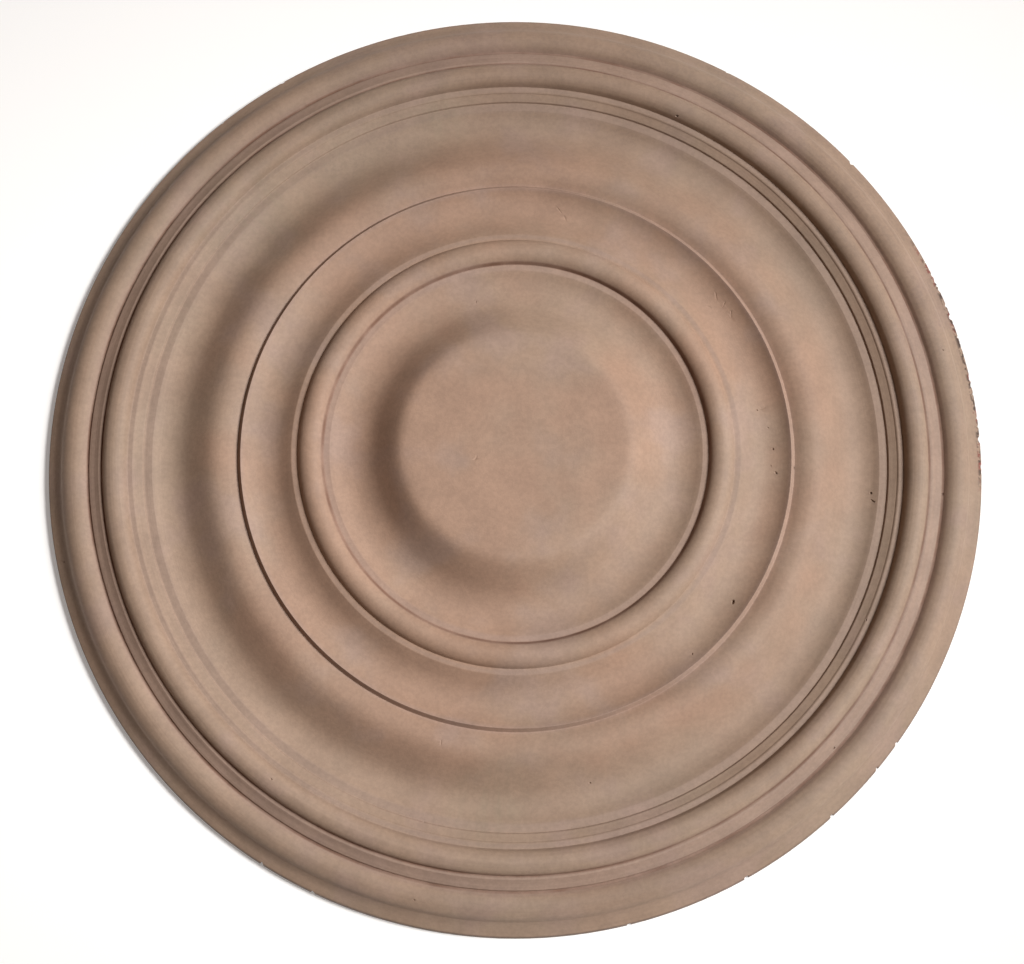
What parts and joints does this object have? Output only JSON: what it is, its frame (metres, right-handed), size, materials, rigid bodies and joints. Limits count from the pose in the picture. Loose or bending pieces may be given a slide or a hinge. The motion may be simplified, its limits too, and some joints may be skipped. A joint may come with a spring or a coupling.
{
  "type": "ceiling rose",
  "caption": "Round plaster ceiling rose with a raised plain boss inside concentric turned mouldings, flat-backed to be fixed to a ceiling.",
  "frame": {"origin": "centre of the flat back, on the rose's axis", "axes": "+Z along the rose's axis, out of the flat back and the way the mouldings face, so the rose lies on its back as in the picture; on a ceiling it is turned over and +Z points down into the room"},
  "size_m": [0.6, 0.6, 0.0482],
  "materials": {
    "cast_plaster": "unpainted cast gypsum plaster, buff with a pink cast, matt and slightly chalky"
  },
  "bodies": {
    "root": {"ceiling_rose": "cast_plaster"}
  },
  "joints": []
}
